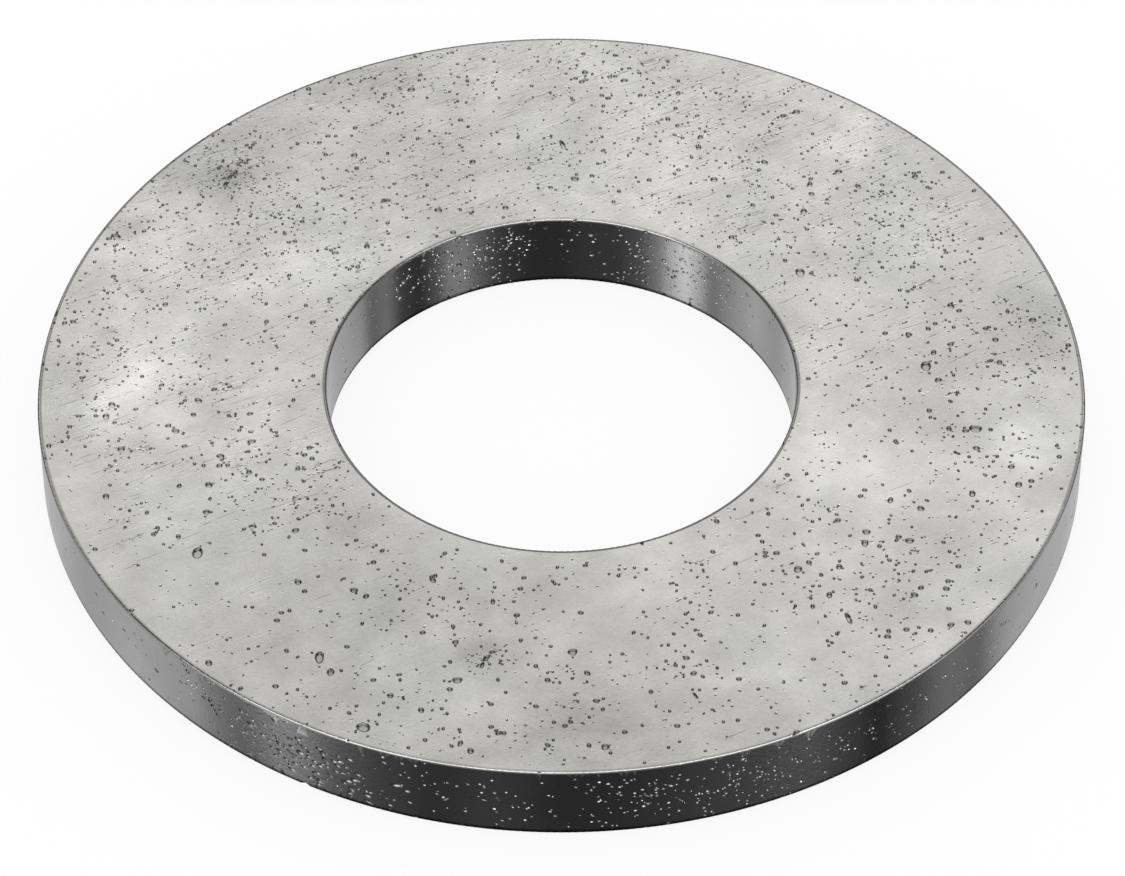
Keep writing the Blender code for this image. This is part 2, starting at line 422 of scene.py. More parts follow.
scatter_wall("outer", R_OUT, [
    (-33, 0.55, 0.50, 0.30, 62, 1.95), (-28, 0.40, 0.55, 0.28, 78, 1.95), (-21, 0.30, 0.45, 0.24, 46, 1.65), (-42, 0.75, 0.22, 0.25, 40, 1.2),
    (-52, 0.4, 0.5, 0.2, 25, 0.8), (-14, 0.7, 0.5, 0.25, 28, 0.9), (-3, 0.45, 0.5, 0.3, 30, 0.8), (6, 0.7, 0.4, 0.2, 36, 0.8),
    (9, 0.25, 0.5, 0.25, 34, 0.8), (16, 0.6, 0.6, 0.25, 60, 0.85), (21, 0.3, 0.6, 0.25, 50, 0.85), (28, 0.5, 0.5, 0.3, 46, 0.85),
    (38, 0.45, 0.5, 0.25, 26, 0.8), (50, 0.5, 0.5, 0.25, 20, 0.8), (75, 0.5, 0.8, 0.3, 20, 0.8), (110, 0.5, 0.8, 0.3, 40, 1.0),
    (140, 0.4, 0.8, 0.3, 40, 1.0), (175, 0.5, 0.8, 0.3, 30, 1.0), (215, 0.6, 0.8, 0.3, 40, 1.0), (250, 0.5, 0.8, 0.3, 30, 1.0),
], 170)
scatter_wall("bore", R_BORE, [
    (197, 0.55, 0.25, 0.28, 66, 1.0), (206, 0.45, 0.25, 0.28, 62, 1.0), (190, 0.3, 0.2, 0.2, 24, 1.0), (214, 0.4, 0.25, 0.3, 56, 0.95),
    (224, 0.35, 0.25, 0.2, 14, 1.0), (176, 0.3, 0.2, 0.15, 12, 1.05), (163, 0.8, 0.25, 0.15, 16, 1.0), (160, 0.25, 0.25, 0.15, 18, 1.15),
    (152, 0.55, 0.3, 0.3, 38, 1.0), (143, 0.4, 0.25, 0.3, 46, 1.05), (133, 0.35, 0.25, 0.25, 26, 1.0), (118, 0.5, 0.4, 0.3, 14, 0.9),
    (250, 0.5, 0.5, 0.3, 14, 0.9), (300, 0.5, 0.8, 0.3, 24, 1.0), (20, 0.5, 0.8, 0.3, 24, 1.0), (60, 0.5, 0.8, 0.3, 24, 1.0),
], 80)

# A few odd dents on the walls, and slanting scuffs.
for az, hs, a, b, turn in ((-39.5, 0.54, 0.0425, 0.036, 60), (-39.15, 0.49, 0.0425, 0.036, 50), (-39.85, 0.60, 0.0425, 0.034, 60), (-38.85, 0.44, 0.040, 0.030, 60), (-8, 0.5, 0.06, 0.035, 20), (-12, 0.42, 0.07, 0.03, 150), (9, 0.42, 0.08, 0.03, 160),
                           (24, 0.8, 0.07, 0.026, 150), (62, 0.55, 0.06, 0.03, 80), (-26, 0.15, 0.07, 0.05, 30), (-22.5, 0.12, 0.06, 0.04, 150)):
    phi = math.radians(az - 90)
    MARKS["outer"].pit(phi * R_OUT, (0.5 - hs) * WALL_H, a, b, math.radians(turn), lump=0.15)
for az, hs, turn, n in ((-6, 0.5, 25, 0.5), (13, 0.45, 140, 0.6), (18, 0.75, 138, 0.5), (31, 0.6, 135, 0.35), (-30, 0.5, 30, 0.4),
                        (-24, 0.35, 35, 0.35), (-27, 0.6, 28, 0.4), (40, 0.5, 120, 0.3), (3, 0.25, 150, 0.3), (90, 0.5, 20, 0.5),
                        (150, 0.5, 150, 0.6), (200, 0.4, 30, 0.5), (240, 0.6, 140, 0.5)):
    u, v = math.radians(az - 90) * R_OUT, (0.5 - hs) * WALL_H
    u = (u + math.pi * R_OUT) % (2 * math.pi * R_OUT) - math.pi * R_OUT
    dx, dy = n / 2 * math.cos(math.radians(turn)), n / 2 * math.sin(math.radians(turn))
    MARKS["outer"].cut(u - dx, v - dy, u + dx, v + dy, 0.012, 0.007)
for az, hs, turn in ((161, 0.25, 140), (159.5, 0.28, 140), (158, 0.22, 138), (157, 0.8, 150)):
    phi = math.radians(az - 90)
    MARKS["bore"].pit(phi * R_BORE, -(0.5 - hs) * WALL_H, 0.075, 0.026, math.radians(turn), lump=0.1)

# ---------------------------------------------------------------------------
# Mesh points: each chart gets a coarse grid, and rings of points round its marks.
# ---------------------------------------------------------------------------
RINGS = {0: (6, 0, 0), 1: (7, 6, 0), 2: (8, 8, 6), 3: (11, 11, 8), 4: (16, 16, 12)}


def mark_points(marks):
    """Chart points on the pits and scratches, and for each whether it is a sharp low point."""
    pts, apex = [], []
    for p in marks.pits:
        x, y, a, b, turn, _, floor = p[:7]
        n0, n1, n2 = RINGS[p[11]]
        c, s = math.cos(turn), math.sin(turn)
        loops = [(1.0, n0)]
        if p[11] == 1:
            loops.append((0.5, n1))
        elif n2:
            loops += [((1 + floor) / 2, n1), (floor, n2)]
        start = p[8]
        for share, n in loops:
            al = start + np.arange(n) * 2 * math.pi / n
            w = share * pit_radius(p, al)
            px, py = w * a * np.cos(al), w * b * np.sin(al)
            pts.append(np.stack([x + px * c - py * s, y + px * s + py * c], 1))
            apex.append(np.zeros(n, bool))
            start += math.pi / max(n, 1)
        pts.append(np.array([[x, y]]))
        apex.append(np.array([p[11] == 0]))
    for x0, y0, x1, y1, half, _ in marks.cuts:
        n = max(3, int(math.hypot(x1 - x0, y1 - y0) / 0.09))
        t = np.linspace(0, 1, n + 1)[:, None]
        line = np.array([[x0, y0]]) * (1 - t) + np.array([[x1, y1]]) * t
        side = np.array([[-(y1 - y0), x1 - x0]]) / math.hypot(x1 - x0, y1 - y0) * half
        for k in (-1, 0, 1):
            q = line + side * k
            pts.append(q[1:-1] if k else q)
            apex.append(np.full(len(pts[-1]), k == 0))
    return np.concatenate(pts), np.concatenate(apex)


def thin_out(xy, gap, keep_first=0):
    """Indices of points that stay when no two may share a cell of size gap; earlier points win."""
    key = np.floor(xy / gap).astype(np.int64)
    key = key[:, 0] * 1000003 + key[:, 1]
    _, first = np.unique(key, return_index=True)
    keep = np.zeros(len(xy), bool)
    keep[first] = True
    keep[:keep_first] = True
    return keep


def near_pit(marks, xy, grow):
    hit = np.zeros(len(xy), bool)
    bins = Bins(xy)
    for p in marks.pits:
        m = max(p[2], p[3]) * grow
        k = bins.near(p[0] - m, p[1] - m, p[0] + m, p[1] + m)
        if len(k):
            q = xy[k] - (p[0], p[1])
            hit[k[np.hypot(q[:, 0], q[:, 1]) < m]] = True
    return hit


phis, esses, apexes = [], [], []
tris = []


def add_points(phi, s, apex=None):
    """Adds mesh points and returns their indices."""
    base = sum(len(q) for q in phis)
    phis.append(np.asarray(phi, float))
    esses.append(np.asarray(s, float))
    apexes.append(np.zeros(len(phi), bool) if apex is None else apex)
    return np.arange(base, base + len(phi))


def ring_angles(n, s_ring, charts, radius):
    """Angles of the points on a ring between two charts: even, and closer where a mark crosses it."""
    phi = -math.pi + np.arange(n) * 2 * math.pi / n
    extra = []
    for chart in charts:
        marks = MARKS[chart]
        for p in marks.pits:
            if chart in ("top", "bottom"):
                pphi, ps = from_plan(chart, p[0], p[1])
            else:
                pphi, ps = from_wall(chart, p[0], p[1])
            off = (ps - s_ring + TOTAL / 2) % TOTAL - TOTAL / 2
            m = max(p[2], p[3])
            if abs(off) < m and abs(abs(pphi) - math.pi) > 0.04:
                k = max(2, int(m / 0.014))
                extra.append(pphi + np.linspace(-m, m, 2 * k + 1) / radius)
    if extra:
        extra = np.sort(np.concatenate(extra))
        keep = [extra[0]]
        for e in extra[1:]:
            if (e - keep[-1]) * radius > 0.009:
                keep.append(e)
        extra = np.array(keep)
        gap = np.abs(phi[:, None] - extra[None, :]).min(1) * radius
        phi = phi[(gap > 0.02) | (np.arange(n) == 0)]
        phi = np.sort(np.concatenate([phi, extra[np.abs(np.abs(extra) - math.pi) * radius > 0.03]]))
    return phi


N_OUTER, N_BORE = 480, 240
rings = {}
for name, s_ring, charts, n, radius in (("top_out", S[1], ("top", "outer"), N_OUTER, R_OUT), ("bot_out", S[4], ("outer", "bottom"), N_OUTER, R_OUT),
                                        ("bot_in", S[5], ("bottom", "bore"), N_BORE, R_BORE), ("top_in", 0.0, ("bore", "top"), N_BORE, R_BORE)):
    ang = ring_angles(n, s_ring, charts, radius)
    rings[name] = (ang, add_points(ang, np.full(len(ang), s_ring)))


def triangulate(xy, index, edges, boundary, flip):
    """Delaunay triangles of chart points, as mesh indices. boundary gives each point's ring, or -1."""
    out = delaunay_2d_cdt([Vector((float(a), float(b))) for a, b in xy], edges, [], 0, 1e-7)
    orig = [o[0] if o else -1 for o in out[3]]
    face = np.array([f for f in out[2] if len(f) == 3], np.int64)
    orig = np.array(orig)
    face = orig[face]
    face = face[(face >= 0).all(1)]
    b = boundary[face]
    same = (b[:, 0] >= 0) & (b[:, 0] == b[:, 1]) & (b[:, 1] == b[:, 2])
    p = xy[face]
    area = 0.5 * np.abs((p[:, 1, 0] - p[:, 0, 0]) * (p[:, 2, 1] - p[:, 0, 1]) - (p[:, 1, 1] - p[:, 0, 1]) * (p[:, 2, 0] - p[:, 0, 0]))
    face = face[~same & (area > 1e-9)]
    face = index[face]
    if flip:
        face = face[:, ::-1]
    tris.append(face)


def mesh_face(chart, outer_ring, inner_ring):
    marks = MARKS[chart]
    pts, apex = mark_points(marks)
    rho = np.hypot(pts[:, 0], pts[:, 1])
    keep = (rho > R_BORE + EDGE + 0.006) & (rho < R_OUT - EDGE - 0.006)
    pts, apex = pts[keep], apex[keep]
    g = 0.30
    n = int(R_OUT / g) + 2
    gx, gy = np.meshgrid(np.arange(-n, n + 1) * g, np.arange(-n * 2, n * 2 + 1) * g * 0.866)
    gx = gx + (np.arange(gy.shape[0]) % 2)[:, None] * g / 2
    grid = np.stack([gx.ravel(), gy.ravel()], 1)
    grid = grid + rng.uniform(-0.05, 0.05, grid.shape)
    # Rows that follow the two rims keep the long triangles away from them.
    for rad, m in ((R_OUT - EDGE - 0.07, 360), (R_OUT - EDGE - 0.20, 260), (R_BORE + EDGE + 0.06, 200), (R_BORE + EDGE + 0.17, 150)):
        a = (np.arange(m) + 0.5) * 2 * math.pi / m
        grid = np.concatenate([grid, np.stack([rad * np.cos(a), rad * np.sin(a)], 1)])
    rho = np.hypot(grid[:, 0], grid[:, 1])
    grid = grid[(rho > R_BORE + EDGE + 0.05) & (rho < R_OUT - EDGE - 0.06)]
    grid = grid[~near_pit(marks, grid, 1.35)]
    grid = grid[relief(marks, grid)[0] <= 0]
    allp = np.concatenate([pts, grid])
    flag = np.concatenate([apex, np.zeros(len(grid), bool)])
    k = thin_out(allp, 0.0045)
    allp, flag = allp[k], flag[k]
    phi, s = from_plan(chart, allp[:, 0], allp[:, 1])
    idx = add_points(phi, s, flag)
    (ao, io), (ai, ii) = rings[outer_ring], rings[inner_ring]
    ro, ri = R_OUT - EDGE, R_BORE + EDGE
    xy = np.concatenate([np.stack([ro * np.cos(ao), ro * np.sin(ao)], 1), np.stack([ri * np.cos(ai), ri * np.sin(ai)], 1), allp])
    index = np.concatenate([io, ii, idx])
    no, ni = len(ao), len(ai)
    edges = [(i, (i + 1) % no) for i in range(no)] + [(no + i, no + (i + 1) % ni) for i in range(ni)]
    boundary = np.concatenate([np.zeros(no, int), np.ones(ni, int), np.full(len(allp), -1)])
    triangulate(xy, index, edges, boundary, chart == "bottom")


def mesh_side(chart, first_ring, last_ring, n_arc, radius, arc_n):
    """The outer or the bore side, both edge breaks with it, unrolled."""
    marks = MARKS[chart]
    s0 = S[1] if chart == "outer" else S[5]
    s1 = S[4] if chart == "outer" else TOTAL
    mid = (s0 + s1) / 2
    v0, v1 = s0 - mid, s1 - mid
    pts, apex = mark_points(marks)
    keep = (pts[:, 1] > v0 + 0.006) & (pts[:, 1] < v1 - 0.006) & (np.abs(pts[:, 0]) < math.pi * radius - 0.03)
    pts, apex = pts[keep], apex[keep]
    rows, seam = [], []
    levels = [v0 + ARC * k / arc_n for k in range(1, arc_n + 1)]
    wall = list(np.linspace(v0 + ARC, v1 - ARC, 8)[1:-1])
    levels = levels + wall + [v1 - ARC * k / arc_n for k in range(arc_n, 0, -1)]
    for j, v in enumerate(levels):
        n = n_arc if (v < v0 + ARC + 1e-9 or v > v1 - ARC - 1e-9) else n_arc // 2
        u = (np.arange(1, n) + (0.5 if j % 2 else 0.0)) * 2 * math.pi * radius / n - math.pi * radius
        u = u[u < math.pi * radius - 0.02]
        rows.append(np.stack([u, np.full(len(u), v)], 1))
        seam.append(v)
    grid = np.concatenate(rows)
    # The rows on the edge breaks stay even where a mark crosses them, so that the breaks keep their round.
    on_break = (grid[:, 1] < v0 + ARC + 1e-9) | (grid[:, 1] > v1 - ARC - 1e-9)
    grid = grid[on_break | (~near_pit(marks, grid, 1.15) & (relief(marks, grid)[0] <= 0))]
    allp = np.concatenate([pts, grid])
    flag = np.concatenate([apex, np.zeros(len(grid), bool)])
    k = thin_out(allp, 0.0045)
    allp, flag = allp[k], flag[k]
    phi, s = from_wall(chart, allp[:, 0], allp[:, 1])
    idx = add_points(phi, s, flag)
    seam = np.array(seam)
    idx_seam = add_points(np.full(len(seam), -math.pi), mid + seam)
    (a0, i0), (a1, i1) = rings[first_ring], rings[last_ring]
    half = math.pi * radius
    xy = np.concatenate([
        np.stack([a0 * radius, np.full(len(a0), v0)], 1), [[half, v0]],
        np.stack([a1 * radius, np.full(len(a1), v1)], 1), [[half, v1]],
        np.stack([np.full(len(seam), -half), seam], 1), np.stack([np.full(len(seam), half), seam], 1), allp])
    xy[0, 0], xy[len(a0) + 1, 0] = -half, -half
    index = np.concatenate([i0, i0[:1], i1, i1[:1], idx_seam, idx_seam, idx])
    boundary = np.full(len(xy), -1)
    boundary[:len(a0) + 1] = 0
    boundary[len(a0) + 1:len(a0) + len(a1) + 2] = 1
    triangulate(xy, index, [], boundary, True)


mesh_face("top", "top_out", "top_in")
mesh_face("bottom", "bot_out", "bot_in")
mesh_side("outer", "top_out", "bot_out", N_OUTER, R_OUT, 4)
mesh_side("bore", "bot_in", "top_in", N_BORE, R_BORE, 4)

phi, s = np.concatenate(phis), np.concatenate(esses)
apex = np.concatenate(apexes)
face = np.concatenate(tris)


def depth_at(phi, s):
    """Total depth of the marks of every chart at surface points."""
    depth, mark_shade = np.zeros(len(phi)), np.zeros(len(phi))
    for chart, marks in MARKS.items():
        k = np.nonzero(chart_range(chart, s))[0]
        wrapped = np.mod(s[k], TOTAL)
        if chart == "bore":
            wrapped = np.where(wrapped < 1.0, wrapped + TOTAL, wrapped)
        p = (phi[k] + math.pi) % (2 * math.pi) - math.pi
        d, i = relief(marks, chart_xy(chart, p, wrapped))
        depth[k] = np.maximum(depth[k], d)
        mark_shade[k] = np.maximum(mark_shade[k], i)
    return depth, mark_shade


rho, z, nr, nz = section(s)
depth, mark_shade = depth_at(phi, s)
step = 0.0006
du, _ = depth_at(phi + step / rho, s)
dv, _ = depth_at(phi, s + step)
du, dv = (du - depth) / step, (dv - depth) / step
c, sn = np.cos(phi), np.sin(phi)
nor = np.stack([nr * c, nr * sn, nz], 1)
t_u = np.stack([-sn, c, np.zeros_like(c)], 1)
t_s = np.stack([nz * c, nz * sn, -nr], 1)
co = np.stack([rho * c, rho * sn, z], 1) - nor * depth[:, None]
soft = nor + t_u * du[:, None] + t_s * dv[:, None]
soft /= np.linalg.norm(soft, axis=1)[:, None]

used = np.unique(face)
remap = -np.ones(len(phi), np.int64)
remap[used] = np.arange(len(used))
face = remap[face]
co, soft, clean, apex, mark_shade, nz_used, depth = co[used], soft[used], nor[used], apex[used], mark_shade[used], nz[used], depth[used]

mesh = bpy.data.meshes.new("washer_steel")
mesh.vertices.add(len(co))
mesh.vertices.foreach_set("co", (co * MM).ravel())
mesh.loops.add(len(face) * 3)
mesh.loops.foreach_set("vertex_index", face.ravel())
mesh.polygons.add(len(face))
mesh.polygons.foreach_set("loop_start", np.arange(len(face)) * 3)
mesh.polygons.foreach_set("loop_total", np.full(len(face), 3))
mesh.polygons.foreach_set("use_smooth", np.ones(len(face), bool))
mesh.update(calc_edges=True)
mesh.validate(verbose=False)
corner = soft[face]
pc = co[face]
flat = np.cross(pc[:, 1] - pc[:, 0], pc[:, 2] - pc[:, 0])
flat /= np.maximum(np.linalg.norm(flat, axis=1), 1e-12)[:, None]
# Faces clear of every mark keep the clean surface's normals, and sharp little marks are faceted.
longest = np.linalg.norm(pc - np.roll(pc, 1, axis=1), axis=2).max(1)
whole = (depth[face] < 2e-4).all(1) | ((depth[face] < 2e-4).any(1) & (longest > 0.075))
corner[whole] = clean[face[whole]]
tiny = apex[face].any(1) & ~whole
corner[tiny] = flat[tiny][:, None, :]
mesh.normals_split_custom_set(corner.reshape(-1, 3).tolist())
# The painted shade of the pits and scratches is stored as a point attribute.
for name, values in (("mark_shade_mask", mark_shade), ("wall", 1 - np.abs(nz_used))):
    mesh.attributes.new(name, "FLOAT", "POINT").data.foreach_set("value", values.astype(np.float32))
washer = bpy.data.objects.new("washer_steel", mesh)
bpy.context.scene.collection.objects.link(washer)
print("washer_steel", len(mesh.vertices), "vertices", len(mesh.polygons), "triangles; pits", {k: len(m.pits) for k, m in MARKS.items()})


# ---------------------------------------------------------------------------
# Node helpers
# ---------------------------------------------------------------------------
class Tree:
    def __init__(self, tree):
        self.t = tree
        tree.nodes.clear()

    def node(self, kind, **values):
        n = self.t.nodes.new(kind)
        for k, v in values.items():
            setattr(n, k, v)
        return n

    def link(self, a, b):
        self.t.links.new(a, b)

    def put(self, socket, value):
        if isinstance(value, bpy.types.NodeSocket):
            self.link(value, socket)
        else:
            socket.default_value = value

    def math(self, op, a, b=None, c=None, clamp=False):
        n = self.node("ShaderNodeMath", operation=op, use_clamp=clamp)
        for i, v in enumerate((a, b, c)):
            if v is not None:
                self.put(n.inputs[i], v)
        return n.outputs[0]

    def remap(self, v, a, b, c, d, kind="LINEAR"):
        n = self.node("ShaderNodeMapRange", interpolation_type=kind, clamp=True)
        for i, x in enumerate((v, a, b, c, d)):
            self.put(n.inputs[i], x)
        return n.outputs[0]

    def noise(self, vec, scale, detail=3.0, rough=0.5, distort=0.0):
        n = self.node("ShaderNodeTexNoise")
        self.put(n.inputs["Vector"], vec)
        n.inputs["Scale"].default_value = scale
        n.inputs["Detail"].default_value = detail
        n.inputs["Roughness"].default_value = rough
        n.inputs["Distortion"].default_value = distort
        return n.outputs["Fac"]

    def vec(self, op, a, b=None, scale=None):
        n = self.node("ShaderNodeVectorMath", operation=op)
        self.put(n.inputs[0], a)
        if b is not None:
            self.put(n.inputs[1], b)
        if scale is not None:
            n.inputs["Scale"].default_value = scale
        return n.outputs["Value"] if op in ("LENGTH", "DOT_PRODUCT", "DISTANCE") else n.outputs[0]

    def mapped(self, vec, rot=(0, 0, 0), scale=(1, 1, 1), loc=(0, 0, 0)):
        n = self.node("ShaderNodeMapping")
        self.put(n.inputs["Vector"], vec)
        n.inputs["Rotation"].default_value = rot
        n.inputs["Scale"].default_value = scale
        n.inputs["Location"].default_value = loc
        return n.outputs[0]

    def along_grain(self, vec, scale):
        """Coordinates turned so that x runs along the rolling direction, then stretched."""
        return self.mapped(self.mapped(vec, rot=(0, 0, -math.radians(GRAIN_DEG))), scale=scale)

    def attribute(self, name):
        return self.node("ShaderNodeAttribute", attribute_name=name).outputs["Fac"]


# Soft light and dark clouds on the upper face, in mm in plan: x, y, radius, strength.
CLOUDS = [
    (-6.3, 0.4, 0.9, 0.13), (-6.2, 2.8, 0.8, 0.07), (-4.5, 2.0, 0.7, 0.09), (1.6, 4.3, 1.1, 0.07), (4.6, 5.4, 0.7, 0.07),
    (4.1, -1.9, 1.1, 0.12), (7.0, -1.4, 0.6, 0.09), (3.9, -0.9, 0.8, 0.05), (1.9, 6.0, 0.6, 0.04), (6.2, -4.8, 0.9, 0.05),
    (-5.6, 5.0, 1.0, -0.08), (-2.2, 5.2, 1.2, -0.07), (-3.2, 7.0, 0.9, -0.07), (7.2, 1.4, 0.7, -0.09), (5.9, 0.6, 0.7, -0.06),
    (-3.4, -4.4, 1.3, -0.06), (-1.05, -5.7, 0.4, -0.12), (-3.2, -2.4, 1.0, -0.04), (0.6, -6.8, 1.2, -0.05), (2.8, 2.7, 0.8, -0.03),
    (3.2, -5.0, 0.8, 0.02), (-4.6, -5.4, 0.8, -0.04), (-6.9, 3.3, 0.35, -0.10), (-6.3, -3.6, 0.9, 0.02), (5.0, 3.0, 0.8, 0.03),
    (0.0, -7.7, 1.7, -0.075), (-2.9, -5.3, 2.1, -0.062), (1.6, -6.9, 1.3, -0.04), (-3.4, -3.2, 1.1, -0.035), (0.6, -4.7, 1.2, -0.04),
    (-3.2, 6.8, 1.1, -0.05), (-6.3, -0.4, 0.8, 0.07), (6.8, -2.0, 0.9, 0.035), (-4.6, 6.2, 0.8, -0.05), (4.6, 4.4, 1.0, 0.04),
    (-6.4, -0.3, 0.8, 0.045), (4.6, 1.6, 0.8, 0.035), (7.2, -1.8, 0.7, 0.04), (6.4, 3.6, 0.6, 0.04), (0.3, -7.7, 2.2, -0.04),
    (-3.5, -6.6, 1.0, -0.03), (-2.4, 7.0, 1.0, -0.04), (-4.6, 4.5, 0.6, -0.04), (-1.8, 3.6, 0.6, -0.04), (-6.0, 5.0, 0.5, -0.04),
    (-6.4, -0.5, 0.8, 0.07), (-4.5, -1.3, 0.7, 0.07), (-3.7, 2.4, 0.8, 0.065), (-6.6, 1.6, 0.6, 0.05), (0.6, 4.6, 0.8, 0.045),
    (1.1, 5.9, 0.7, 0.05), (4.5, 5.3, 0.8, 0.06), (1.7, 3.5, 0.5, 0.04), (6.4, 3.5, 0.5, 0.035), (3.8, 1.8, 0.6, 0.05),
    (4.1, -2.0, 0.9, 0.045), (6.6, -1.7, 1.0, 0.04), (1.4, -3.6, 0.5, 0.06), (-1.6, 6.6, 0.5, -0.075), (-5.2, 6.0, 0.7, -0.06),
    (-6.6, 3.5, 0.4, -0.06), (-0.6, 3.8, 0.4, -0.06), (-3.2, -2.6, 0.8, -0.04), (-0.4, -4.6, 0.8, -0.035), (-4.6, -6.3, 0.6, -0.04),
    (2.3, -6.7, 0.9, -0.035), (-0.7, -5.9, 0.7, -0.02), (5.4, -5.0, 0.6, -0.03),
    (-2.0, -7.2, 0.5, 0.03), (-5.2, 4.5, 0.35, -0.09), (0.0, 5.3, 0.5, -0.03), (5.6, -4.2, 0.8, -0.03), (3.4, 4.4, 0.6, 0.03),
]


def steel_material():
    mat = bpy.data.materials.new("washer_steel")
    mat.use_nodes = True
    t = Tree(mat.node_tree)
    out = t.node("ShaderNodeOutputMaterial")
    bsdf = t.node("ShaderNodeBsdfPrincipled")
    t.link(bsdf.outputs[0], out.inputs["Surface"])
    bsdf.inputs["Metallic"].default_value = 1.0
    bsdf.inputs["IOR"].default_value = 2.5

    place = t.node("ShaderNodeTexCoord").outputs["Object"]
    p = t.vec("SCALE", place, scale=1000.0)
    mark_shade_mask, wall = t.attribute("mark_shade_mask"), t.attribute("wall")
    face = t.math("SUBTRACT", 1.0, wall)

    # Clouds: listed ones on the upper face, and noise at three sizes everywhere.
    warp = t.node("ShaderNodeTexNoise")
    t.link(p, warp.inputs["Vector"])
    warp.inputs["Scale"].default_value = 0.9
    warp.inputs["Detail"].default_value = 3.0
    bent = t.vec("ADD", p, t.vec("SCALE", t.vec("SUBTRACT", warp.outputs["Color"], (0.5, 0.5, 0.5)), scale=1.9))
    total = None
    for x, y, r, k in CLOUDS:
        d = t.vec("DISTANCE", bent, (x, y, THICK))
        part = t.remap(d, 0.0, r * 1.5, k, 0.0, "SMOOTHSTEP")
        total = part if total is None else t.math("ADD", total, part)
    n1 = t.noise(p, 0.42, 3.0, 0.5)
    n2 = t.noise(p, 1.25, 4.0, 0.55, 0.3)
    n3 = t.noise(t.along_grain(p, (1.3, 2.0, 2.0)), 1.0, 3.0, 0.6)
    cloud = t.math("MULTIPLY_ADD", t.math("SUBTRACT", n1, 0.5), 0.24, t.math("MULTIPLY", total, 1.65))
    cloud = t.math("MULTIPLY_ADD", t.math("SUBTRACT", n2, 0.5), 0.48, cloud)
    cloud = t.math("MULTIPLY_ADD", t.math("SUBTRACT", n3, 0.5), 0.16, cloud)
    cloud = t.math("MULTIPLY_ADD", t.math("MAXIMUM", cloud, 0.0), 0.28, cloud)
    # Fine grain: hairlines along the rolling direction, and a soft speckle.
    hair = t.noise(t.along_grain(p, (1.8, 36.0, 20.0)), 1.0, 2.0, 0.6)
    hair = t.remap(hair, 0.28, 0.44, -0.04, 0.0)
    hair = t.math("MULTIPLY", hair, t.remap(t.noise(t.along_grain(p, (0.5, 1.2, 1.0)), 1.0, 2.0), 0.44, 0.62, 0.15, 1.2))
    back = t.vec("DOT_PRODUCT", p, (-0.45, 0.9, 0.0))
    hair = t.math("MULTIPLY", hair, t.remap(back, -4.5, 3.5, 0.15, 1.0, "SMOOTHSTEP"))
    speck = t.noise(p, 22.0, 3.0, 0.65)
    grainy = t.math("MULTIPLY_ADD", t.math("SUBTRACT", speck, 0.5), 0.24, t.math("MULTIPLY", hair, face))
    tone = t.math("ADD", cloud, grainy)
    tone = t.math("ADD", t.math("MULTIPLY", tone, t.remap(face, 0, 1, 0.45, 1.0)), 1.0)
    height_up = t.node("ShaderNodeSeparateXYZ")
    t.link(p, height_up.inputs[0])
    # The finest dimples, in cells of two sizes; most crowded at the back left.
    dimples = None
    for cells, radius, deep, share in ((5.2, 0.17, 1.0, 0.42), (9.5, 0.20, 0.55, 0.50)):
        v = t.node("ShaderNodeTexVoronoi", feature="F1")
        t.link(t.along_grain(p, (0.85, 1.0, 1.0)), v.inputs["Vector"])
        v.inputs["Scale"].default_value = cells
        pick = t.node("ShaderNodeSeparateXYZ")
        t.link(v.outputs["Color"], pick.inputs[0])
        crowd = t.remap(back, -6.0, 6.0, share * 0.45, share)
        crowd = t.math("MULTIPLY", crowd, t.remap(n1, 0.35, 0.65, 0.5, 1.5))
        chosen = t.math("LESS_THAN", pick.outputs[0], crowd)
        hollow = t.remap(v.outputs["Distance"], radius * 0.2, radius, deep, 0.0, "SMOOTHSTEP")
        hollow = t.math("MULTIPLY", hollow, t.remap(pick.outputs[1], 0.0, 1.0, 0.4, 1.0))
        hollow = t.math("MULTIPLY", hollow, chosen)
        dimples = hollow if dimples is None else t.math("MAXIMUM", dimples, hollow)
    # Painted shade: the dimples darken the colour as well as sinking in the bump below.
    tone = t.math("MULTIPLY", tone, t.math("SUBTRACT", 1.0, t.math("MULTIPLY", t.math("MULTIPLY", dimples, face), 0.26)))
    # Painted shade: the pits and scratches darken the colour, on the walls mostly at the left.
    painted_mark_shade = t.math("MULTIPLY", t.remap(mark_shade_mask, 0.0, 0.45, 0.0, 1.0), t.math("MULTIPLY", t.math("MAXIMUM", face, t.remap(height_up.outputs[0], -5.5, -3.0, 0.90, 0.34)), t.remap(back, -3.0, 4.5, 0.73, 0.69, "SMOOTHSTEP")))
    tone = t.math("MULTIPLY", tone, t.math("SUBTRACT", 1.0, painted_mark_shade))
    # Darker towards the bottom of the walls, and painted shade along every edge break.
    low_rim = t.math("MULTIPLY", t.remap(height_up.outputs[2], 0.055, 0.105, 0.82, 0.0), t.remap(wall, 0.0, 0.15, 0.0, 1.0))
    reach = t.vec("LENGTH", t.vec("MULTIPLY", p, (1.0, 1.0, 0.0)))
    in_hole = t.remap(reach, 5.0, 5.2, 1.0, 0.0)
    depth_in = height_up.outputs[1]
